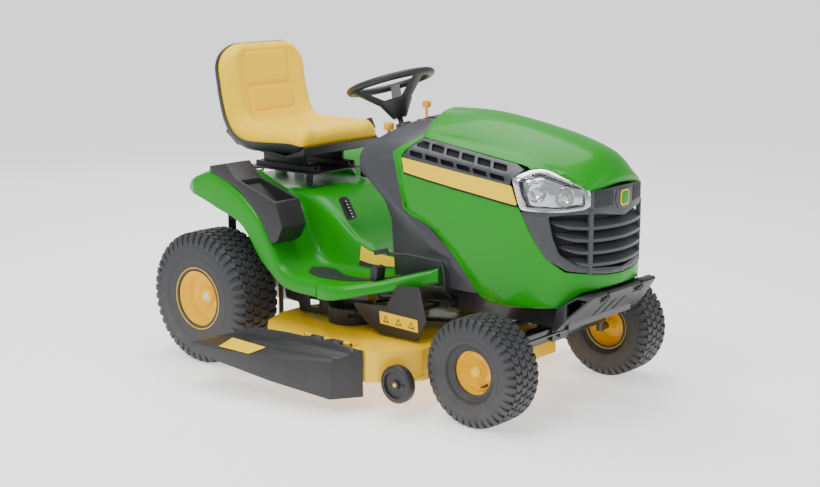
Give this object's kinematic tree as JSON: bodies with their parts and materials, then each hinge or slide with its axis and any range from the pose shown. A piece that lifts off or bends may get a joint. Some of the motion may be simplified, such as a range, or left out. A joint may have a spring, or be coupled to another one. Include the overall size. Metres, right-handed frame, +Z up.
{
  "type": "riding lawn mower",
  "caption": "Ride-on lawn tractor with a tilting hood, bucket seat, pivoting front axle, steering linkage and a side-discharge mower deck under the frame.",
  "frame": {"origin": "centre of the overall footprint, on the ground", "axes": "+X forward towards the hood, +Y towards the driver's left, +Z up"},
  "size_m": [1.81, 1.247, 1.1729],
  "materials": {
    "green_paint": "gloss",
    "black_plastic": "satin",
    "black_steel": "satin",
    "yellow_paint": "gloss",
    "tyre_rubber": "matte",
    "belt_rubber": "matte",
    "cast_metal": "satin",
    "bright_steel": "brushed",
    "clear_lens": "clear",
    "chrome": "polished",
    "yellow_vinyl": "satin vinyl",
    "white_plastic": "matte",
    "grey_plastic": "satin",
    "orange_plastic": "gloss",
    "yellow_plastic": "gloss"
  },
  "bodies": {
    "chassis": {"frame": "black_steel", "hitch_plate": "black_steel", "transaxle_case": "cast_metal", "traction_belt": "belt_rubber", "engine_block": "cast_metal", "blower_housing": "black_steel", "muffler": "bright_steel", "air_cleaner": "black_plastic", "battery": "black_steel", "fuel_tank": "white_plastic", "fender_deck": "green_paint", "storage_tray": "black_plastic", "height_gauge": "black_plastic", "dash_tower": "black_plastic", "bumper": "black_plastic", "side_shields": "black_plastic", "seat_springs": "bright_steel"},
    "fuel_cap_body": {"fuel_cap": "black_plastic"},
    "drive_pulley": {"transaxle_pulley": "bright_steel"},
    "crank": {"crank_pulleys": "bright_steel"},
    "steering": {"steering_wheel": "black_plastic"},
    "sector": {"sector_gear": "black_steel"},
    "drag": {"drag_link": "black_steel"},
    "axle": {"front_axle": "black_steel"},
    "spindle_l": {"spindle_left": "black_steel"},
    "spindle_r": {"spindle_right": "black_steel"},
    "tie": {"tie_rod": "black_steel"},
    "wheel_fl": {"front_rim_left": "yellow_paint", "front_tyre_left": "tyre_rubber"},
    "wheel_fr": {"front_rim_right": "yellow_paint", "front_tyre_right": "tyre_rubber"},
    "wheel_rl": {"rear_rim_left": "yellow_paint", "rear_tyre_left": "tyre_rubber"},
    "wheel_rr": {"rear_rim_right": "yellow_paint", "rear_tyre_right": "tyre_rubber"},
    "hood": {"hood_shell": "green_paint", "grille": "black_plastic", "headlamp_lenses": "clear_lens", "headlamp_reflectors": "chrome", "side_vents": "black_plastic"},
    "seat_base": {"seat_bracket": "black_plastic"},
    "seat": {"seat_pan": "black_plastic", "seat_cushion": "yellow_vinyl"},
    "deck": {"deck_shell": "yellow_paint", "belt_covers": "black_plastic", "mower_belt": "belt_rubber"},
    "chute": {"deflector": "black_plastic"},
    "cutter_r": {"blade_right": "bright_steel"},
    "cutter_l": {"blade_left": "bright_steel"},
    "gauge_r": {"gauge_wheel_right": "grey_plastic"},
    "gauge_l": {"gauge_wheel_left": "grey_plastic"},
    "lift": {"lift_lever": "black_steel"},
    "pedal_brake": {"brake_pedal": "black_steel"},
    "pedal_forward": {"forward_pedal": "black_steel"},
    "pedal_reverse": {"reverse_pedal": "black_plastic"},
    "throttle": {"throttle_lever": "orange_plastic"},
    "key": {"ignition_key": "clear_lens"},
    "pto": {"pto_knob": "yellow_plastic"}
  },
  "joints": [
    {"name": "rear_wheel_right_turn", "type": "hinge", "parent": "chassis", "child": "wheel_rr", "pos_m": [-0.643, -0.3235, 0.25], "axis": [0, 1, 0], "continuous": true},
    {"name": "rear_wheel_left_turn", "type": "hinge", "parent": "chassis", "child": "wheel_rl", "pos_m": [-0.643, 0.5005, 0.25], "axis": [0, 1, 0], "continuous": true},
    {"name": "axle_rock", "type": "hinge", "parent": "chassis", "child": "axle", "pos_m": [0.612, 0.0885, 0.235], "axis": [1, 0, 0], "range_deg": [-3, 3]},
    {"name": "steer_right", "type": "hinge", "parent": "axle", "child": "spindle_r", "pos_m": [0.612, -0.2195, 0.235], "axis": [0, 0, 1], "range_deg": [-35.5, 35.5]},
    {"name": "steer_left", "type": "hinge", "parent": "axle", "child": "spindle_l", "pos_m": [0.612, 0.3965, 0.235], "axis": [0, 0, 1], "range_deg": [-35.5, 35.5]},
    {"name": "front_wheel_right_turn", "type": "hinge", "parent": "spindle_r", "child": "wheel_fr", "pos_m": [0.612, -0.3085, 0.185], "axis": [0, 1, 0], "continuous": true},
    {"name": "front_wheel_left_turn", "type": "hinge", "parent": "spindle_l", "child": "wheel_fl", "pos_m": [0.612, 0.4855, 0.185], "axis": [0, 1, 0], "continuous": true},
    {"name": "tie_rod_turn", "type": "hinge", "parent": "spindle_l", "child": "tie", "pos_m": [0.712, 0.3965, 0.2705], "axis": [0, 0, 1], "range_deg": [-35.5, 35.5]},
    {"name": "steering_wheel_turn", "type": "hinge", "parent": "chassis", "child": "steering", "pos_m": [-0.1204, 0.0885, 1.052], "axis": [-0.3289, 0, 0.9444], "range_deg": [-175, 175]},
    {"name": "sector_turn", "type": "hinge", "parent": "chassis", "child": "sector", "pos_m": [0.18561, 0.0885, 0.403], "axis": [0, 0, 1], "range_deg": [-35.5, 35.5]},
    {"name": "drag_link_turn", "type": "hinge", "parent": "sector", "child": "drag", "pos_m": [0.18561, 0.0085, 0.2845], "axis": [0, 0, 1], "range_deg": [-35.5, 35.5]},
    {"name": "hood_open", "type": "hinge", "parent": "chassis", "child": "hood", "pos_m": [0.892, 0.0885, 0.415], "axis": [0, 1, 0], "range_deg": [0, 65]},
    {"name": "seat_tilt", "type": "hinge", "parent": "chassis", "child": "seat_base", "pos_m": [-0.393, 0.0885, 0.668], "axis": [0, 1, 0], "range_deg": [0, 35]},
    {"name": "seat_slide", "type": "slide", "parent": "seat_base", "child": "seat", "axis": [1, 0, 0], "range_m": [-0.05, 0.05]},
    {"name": "lift_lever_turn", "type": "hinge", "parent": "chassis", "child": "lift", "pos_m": [-0.173, 0.0885, 0.328], "axis": [0, 1, 0], "range_deg": [0, 20]},
    {"name": "deck_lift", "type": "slide", "parent": "chassis", "child": "deck", "axis": [0, 0, 1], "range_m": [-0.0285, 0]},
    {"name": "deflector_fold", "type": "hinge", "parent": "deck", "child": "chute", "pos_m": [0.057, -0.4525, 0.222], "axis": [-1, 0, 0], "range_deg": [0, 85]},
    {"name": "gauge_wheel_right_turn", "type": "hinge", "parent": "deck", "child": "gauge_r", "pos_m": [0.351, -0.4275, 0.114], "axis": [0, 1, 0], "continuous": true},
    {"name": "gauge_wheel_left_turn", "type": "hinge", "parent": "deck", "child": "gauge_l", "pos_m": [0.351, 0.6045, 0.114], "axis": [0, 1, 0], "continuous": true},
    {"name": "crank_turn", "type": "hinge", "parent": "chassis", "child": "crank", "pos_m": [0.437, 0.0885, 0.3], "axis": [0, 0, 1], "continuous": true},
    {"name": "blade_right_turn", "type": "hinge", "parent": "deck", "child": "cutter_r", "pos_m": [-0.088, -0.1735, 0.121], "axis": [0, 0, 1], "continuous": true},
    {"name": "blade_left_turn", "type": "hinge", "parent": "deck", "child": "cutter_l", "pos_m": [0.097, 0.3505, 0.121], "axis": [0, 0, 1], "continuous": true},
    {"name": "drive_pulley_turn", "type": "hinge", "parent": "chassis", "child": "drive_pulley", "pos_m": [-0.573, 0.0885, 0.35], "axis": [0, 0, 1], "continuous": true},
    {"name": "forward_pedal_press", "type": "hinge", "parent": "chassis", "child": "pedal_forward", "pos_m": [0.332, -0.1015, 0.335], "axis": [0, -1, 0], "range_deg": [0, 6], "stiffness_Nm_per_rad": 15, "springref_deg": -17.19},
    {"name": "reverse_pedal_press", "type": "hinge", "parent": "chassis", "child": "pedal_reverse", "pos_m": [0.332, -0.1015, 0.335], "axis": [0, -1, 0], "range_deg": [0, 8], "stiffness_Nm_per_rad": 15, "springref_deg": -17.19},
    {"name": "brake_pedal_press", "type": "hinge", "parent": "chassis", "child": "pedal_brake", "pos_m": [0.332, 0.2785, 0.335], "axis": [0, -1, 0], "range_deg": [0, 6], "stiffness_Nm_per_rad": 12, "springref_deg": -17.19},
    {"name": "throttle_move", "type": "hinge", "parent": "chassis", "child": "throttle", "pos_m": [0.092, 0.0365, 0.88], "axis": [0, 1, 0], "range_deg": [-20, 20]},
    {"name": "key_turn", "type": "hinge", "parent": "chassis", "child": "key", "pos_m": [-0.058, 0.1835, 0.87], "axis": [0, 0, -1], "range_deg": [0, 60]},
    {"name": "pto_pull", "type": "slide", "parent": "chassis", "child": "pto", "axis": [0, 0, 1], "range_m": [0, 0.015]},
    {"name": "fuel_cap_twist", "type": "hinge", "parent": "chassis", "child": "fuel_cap_body", "pos_m": [-0.751, 0.1465, 0.664], "axis": [0, 0, 1], "range_deg": [0, 90]}
  ],
  "couplings": [
    {"joint": "sector_turn", "follows": "steering_wheel_turn", "ratio": 0.2},
    {"joint": "drag_link_turn", "follows": "steering_wheel_turn", "ratio": -0.2},
    {"joint": "steer_right", "follows": "steering_wheel_turn", "ratio": 0.2},
    {"joint": "steer_left", "follows": "steering_wheel_turn", "ratio": 0.2},
    {"joint": "tie_rod_turn", "follows": "steering_wheel_turn", "ratio": -0.2},
    {"joint": "deck_lift", "follows": "lift_lever_turn", "m_per_rad": -0.080345},
    {"joint": "blade_right_turn", "follows": "crank_turn", "ratio": 0.92308},
    {"joint": "blade_left_turn", "follows": "crank_turn", "ratio": 0.92308},
    {"joint": "drive_pulley_turn", "follows": "crank_turn", "ratio": 0.81818}
  ]
}
